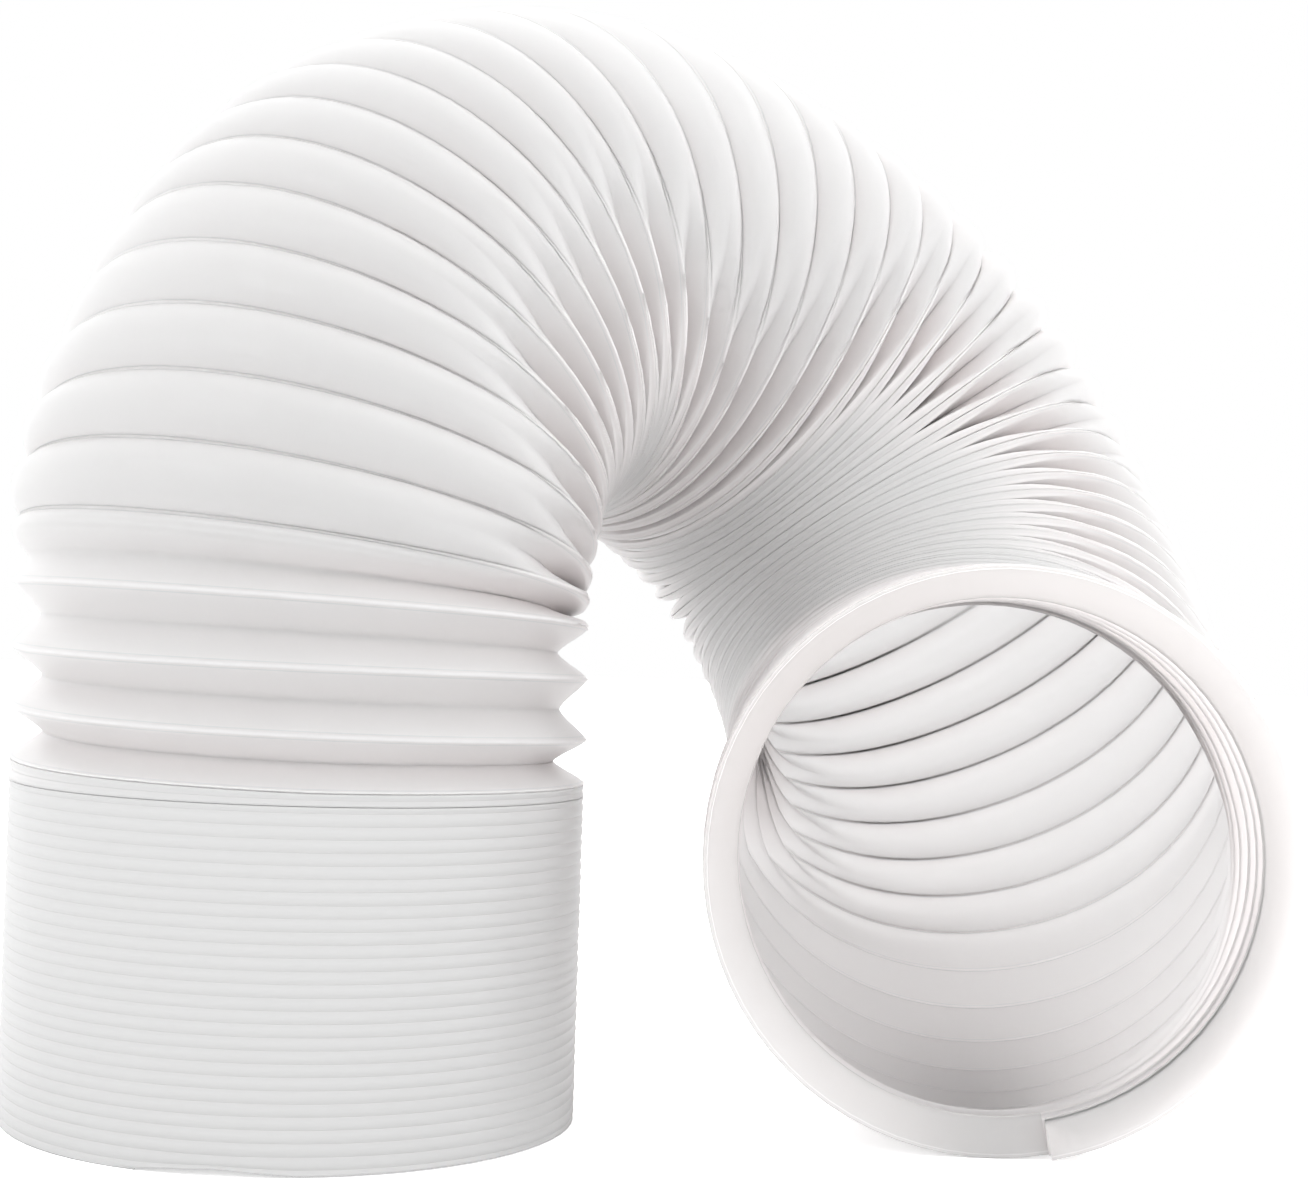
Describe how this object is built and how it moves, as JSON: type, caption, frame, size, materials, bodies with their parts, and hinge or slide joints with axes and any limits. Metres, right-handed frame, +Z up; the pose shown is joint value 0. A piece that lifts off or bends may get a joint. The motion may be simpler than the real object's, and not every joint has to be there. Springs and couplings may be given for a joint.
{
  "type": "air conditioner exhaust hose",
  "caption": "Pleated white plastic exhaust hose for a portable air conditioner, standing on its pressed-together end and arching over to an open mouth at the front.",
  "frame": {"origin": "centre of the bounding box, on the floor", "axes": "+Z up along the standing end, +X from the standing end towards the mouth, -Y the way the mouth faces"},
  "size_m": [0.3604, 0.2672, 0.315],
  "materials": {
    "hose": "smooth, softly glossy white polypropylene, slightly translucent"
  },
  "bodies": {
    "root": {"hose": "hose"}
  },
  "joints": []
}
